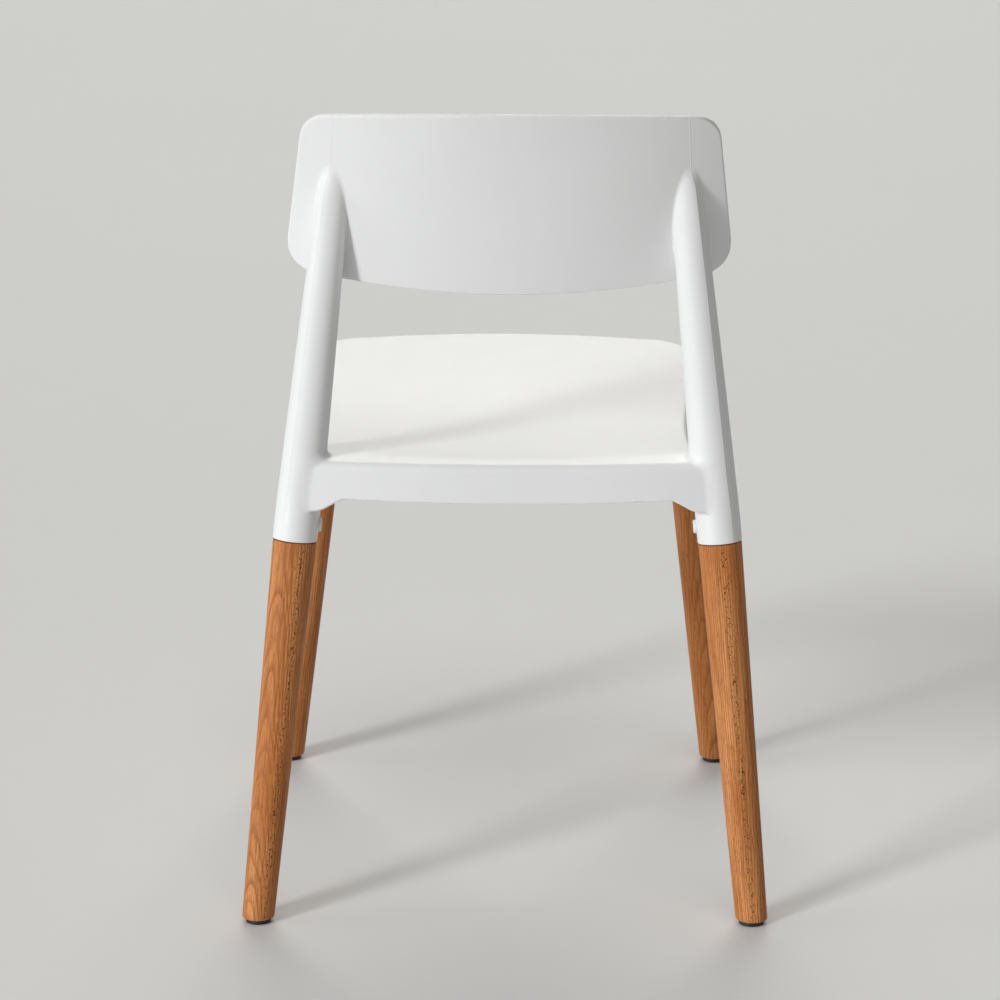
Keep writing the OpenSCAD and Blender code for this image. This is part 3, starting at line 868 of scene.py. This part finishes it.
def beech():
    """Oiled steamed beech: rings cut by the turned surface, fibres, pores, and rays cut across and along."""
    n = Nodes("oiled_beech")
    grain = n.add("Attribute", attribute_name="grain").outputs["Vector"]
    pith = n.add("Attribute", attribute_name="pith").outputs["Vector"]

    def stretched(across, along, detail=2.0, rough=0.5, aside=1.0):
        return n.noise(n.vector("MULTIPLY", grain, (across, across * aside, along)), 1.0, detail, rough)

    sway = n.add("TexNoise")
    n.put(sway.inputs["Vector"], n.vector("MULTIPLY", grain, (8.0, 8.0, 3.0)))
    sway.inputs["Detail"].default_value = 1.0
    swayed = n.vector("SUBTRACT", sway.outputs["Color"], (0.5, 0.5, 0.5))
    bent = n.vector("MULTIPLY", swayed, (0.006, 0.006, 0.0))
    flat = n.vector("MULTIPLY", n.vector("ADD", pith, bent), (1.0, 1.0, 0.0))
    ripple = n.math("MULTIPLY", stretched(140.0, 7.0, 3.0, 0.6), 0.0009)
    turns = n.math("DIVIDE", n.math("ADD", n.vector("LENGTH", flat), ripple), RING_SPACING)
    tooth = n.math("FRACT", turns)
    year = n.noise(n.math("FLOOR", turns), 0.77, 0.0)
    late = n.math("MULTIPLY", n.ramp(tooth, 0.40, 0.92), n.ramp(tooth, 0.92, 1.0, 1.0, 0.0))
    late = n.math("MULTIPLY", late, n.ramp(year, 0.25, 0.75, 0.40, 1.0))
    fibre = stretched(700.0, 15.0, 3.0, 0.7)
    broad = stretched(40.0, 6.0, 3.0)
    tone = n.mix(n.ramp(broad, 0.32, 0.68), (0.50, 0.182, 0.052, 1), (0.68, 0.300, 0.110, 1))
    tone = n.mix(n.math("MULTIPLY", late, 0.80), tone, (0.33, 0.098, 0.024, 1))
    tone = n.mix(n.ramp(fibre, 0.42, 0.66, 0.0, 0.62), tone, (0.27, 0.086, 0.022, 1))
    pores = n.ramp(stretched(1500.0, 160.0, 1.0, 0.4), 0.60, 0.70, 0.0, 0.55)
    tone = n.mix(pores, tone, (0.20, 0.060, 0.016, 1))
    off_line = n.math("ADD", n.vector("LENGTH", n.add("Attribute", attribute_name="rays").outputs["Vector"]),
                      n.math("MULTIPLY", stretched(60.0, 30.0), 0.004))
    column = n.ramp(off_line, 0.0026, 0.0062, 1.0, 0.0)
    column = n.math("ADD", column, n.ramp(stretched(110.0, 5.0, 1.0), 0.58, 0.66, 0.0, 0.3))
    dash = n.math("MULTIPLY", n.ramp(stretched(680.0, 400.0, 2.0, 0.5), 0.56, 0.63), column)
    tone = n.mix(n.math("MULTIPLY", dash, 0.85), tone, (0.060, 0.018, 0.006, 1))
    fleck = n.ramp(stretched(260.0, 90.0, 1.0, 0.5, 8.0), 0.62, 0.74, 0.0, 0.20)
    tone = n.mix(fleck, tone, (0.72, 0.36, 0.16, 1))
    height = n.math("SUBTRACT", n.math("MULTIPLY", fibre, 0.06), n.math("MULTIPLY", dash, 0.12))
    rough = n.math("ADD", n.math("MULTIPLY", fibre, 0.14), n.math("MULTIPLY", late, -0.05))
    n.set(Base_Color=tone, Roughness=n.math("ADD", rough, 0.42), IOR=1.5, Normal=n.bump(height),
          Specular_IOR_Level=0.14)
    return n.material


def metal(name, tone, dull, rough, brushed):
    """Plated metal with fine turning marks and patches of dulled plating."""
    n = Nodes(name)
    at = object_place(n)
    patches = n.noise(at, 700.0, 4.0, 0.6)
    marks = n.noise(n.vector("MULTIPLY", at, (2600.0, 400.0, 400.0)), 1.0, 2.0)
    n.set(Base_Color=n.mix(n.ramp(patches, 0.35, 0.7), (*tone, 1), (*dull, 1)),
          Roughness=n.math("ADD", n.math("MULTIPLY", patches, 0.22), rough),
          Normal=n.bump(n.math("MULTIPLY", marks, brushed)), Metallic=1.0)
    return n.material


def black_plastic():
    """Black polyethylene glide, greyed and scuffed where it slides."""
    n = Nodes("black_polyethylene")
    at = object_place(n)
    part = n.add("SeparateXYZ")
    n.put(part.inputs[0], at)
    low = n.ramp(part.outputs[2], 0.0, 0.0016, 1.0, 0.0)
    worn = n.math("MULTIPLY", low, n.ramp(n.noise(at, 500.0, 5.0), 0.4, 0.6))
    mottle = n.noise(at, 260.0, 3.0)
    tone = n.mix(n.ramp(mottle, 0.3, 0.7), (0.012, 0.012, 0.013, 1), (0.022, 0.022, 0.023, 1))
    tone = n.mix(n.math("MULTIPLY", worn, 0.6), tone, (0.09, 0.088, 0.085, 1))
    n.set(Base_Color=tone, Roughness=n.math("ADD", n.math("MULTIPLY", mottle, 0.2), 0.42),
          Normal=n.bump(n.math("MULTIPLY", n.noise(at, 1500.0, 2.0), 0.05)))
    return n.material


def dress(piece, material, node=None):
    """Gives a piece its material. A rebuilt piece also takes its CAD node's place: it hangs from the root
    body, and the node is hidden.
    """
    piece.data.materials.clear()
    piece.data.materials.append(material)
    if node:
        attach(piece, "root")
        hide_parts(node)


# ---------------------------------------------------------------- the chair

WHITE, WOOD, BLACK = white_plastic(), beech(), black_plastic()
ZINC = metal("zinc_steel", (0.62, 0.62, 0.61), (0.42, 0.42, 0.42), 0.24, 0.02)
BRASS = metal("insert_brass", (0.70, 0.50, 0.22), (0.50, 0.36, 0.16), 0.26, 0.02)

dress(build_shell(), WHITE, "shell")
for end, side, sign in LEGS:
    dress(build_leg(end, side, sign), WOOD, f"{end}_leg_{side}")
    dress(build_pad(end, side, sign), BLACK, f"{end}_{side}_glide_pad")
    dress(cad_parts[f"{end}_{side}_leg_screw"], ZINC)
    dress(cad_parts[f"{end}_{side}_glide_nail"], ZINC)
    dress(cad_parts[f"{end}_{side}_leg_insert"], BRASS)

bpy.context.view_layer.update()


# ---------------------------------------------------------------- floor, light, camera

def stage_floor():
    """Plain pale floor."""
    n = Nodes("studio_floor")
    at = object_place(n)
    tone = n.mix(n.noise(at, 1.3, 3.0), (0.77, 0.77, 0.765, 1), (0.79, 0.79, 0.785, 1))
    n.set(Base_Color=tone, Roughness=n.math("ADD", n.math("MULTIPLY", n.noise(at, 30.0, 3.0), 0.1), 0.7))
    far = 9000.0
    floor = mesh_object("studio_floor", [(-far, -far, 0), (far, -far, 0), (far, far, 0), (-far, far, 0)],
                        [(0, 1, 2, 3)])
    floor.data.materials.append(n.material)


def sky(strength):
    """Plain white surroundings, the same for the camera and for the chair."""
    world = bpy.data.worlds.new("studio")
    world.use_nodes = True
    bpy.context.scene.world = world
    tree = world.node_tree
    tree.nodes.clear()
    soft, out = tree.nodes.new("ShaderNodeBackground"), tree.nodes.new("ShaderNodeOutputWorld")
    soft.inputs["Color"].default_value = (1, 1, 1, 1)
    soft.inputs["Strength"].default_value = strength
    tree.links.new(soft.outputs[0], out.inputs[0])


def softbox(name, azimuth, height, strength, spread, tint):
    """Far soft light. Its azimuth turns from the rear towards the sitter's left, in degrees."""
    light = bpy.data.lights.new(name, "SUN")
    light.energy = strength
    light.angle = math.radians(spread)
    light.color = tint
    lamp = bpy.data.objects.new(name, light)
    bpy.context.scene.collection.objects.link(lamp)
    a, e = math.radians(azimuth), math.radians(height)
    way = Vector((math.sin(a) * math.cos(e), math.cos(a) * math.cos(e), math.sin(e)))
    lamp.rotation_euler = way.to_track_quat("Z", "Y").to_euler()


# Each light's name, azimuth and height in degrees, strength, spread in degrees, and tint
COOL, WARM = (0.975, 0.985, 1.0), (1.0, 0.985, 0.93)
LIGHTS = (("key_high", 46, 28, 1.10, 14.0, COOL),
          ("key_low", 47, 6, 1.15, 7.0, COOL),
          ("side", 88, 10, 0.45, 25.0, COOL),
          ("top", 0, 65, 0.50, 40.0, WARM),
          ("front", 180, 35, 1.25, 40.0, WARM),
          ("front_low", 180, 10, 0.10, 25.0, WARM))
SKY_STRENGTH = 0.12

# The camera fitted to the photograph: its place in metres, its turns in degrees, its lens in millimetres
CAMERA_PLACE = (0.03504, 3.69618, 1.40412)
CAMERA_TURNS = (15.98059, -0.45614, 0.41593)
FOCAL_LENGTH = 140.512


def camera():
    """Camera behind the chair: pitch is downwards, yaw from straight ahead, and roll about its own line."""
    pitch, yaw, roll = (math.radians(v) for v in CAMERA_TURNS)
    ahead = Vector((math.sin(yaw) * math.cos(pitch), -math.cos(yaw) * math.cos(pitch), -math.sin(pitch)))
    across = Vector((-math.cos(yaw), -math.sin(yaw), 0))
    above = across.cross(ahead)
    right = across * math.cos(roll) + above * math.sin(roll)
    up = above * math.cos(roll) - across * math.sin(roll)
    lens = bpy.data.cameras.new("camera")
    lens.sensor_width = 36
    lens.lens = FOCAL_LENGTH
    lens.clip_end = 60
    view = bpy.data.objects.new("camera", lens)
    bpy.context.scene.collection.objects.link(view)
    matrix = Matrix.Identity(4)
    for c, axis in enumerate((right, up, -ahead, Vector(CAMERA_PLACE))):
        for r in range(3):
            matrix[r][c] = axis[r]
    view.matrix_world = matrix
    bpy.context.scene.camera = view


stage_floor()
sky(SKY_STRENGTH)
for light in LIGHTS:
    softbox(*light)
camera()
bpy.context.scene.view_settings.view_transform = "Standard"
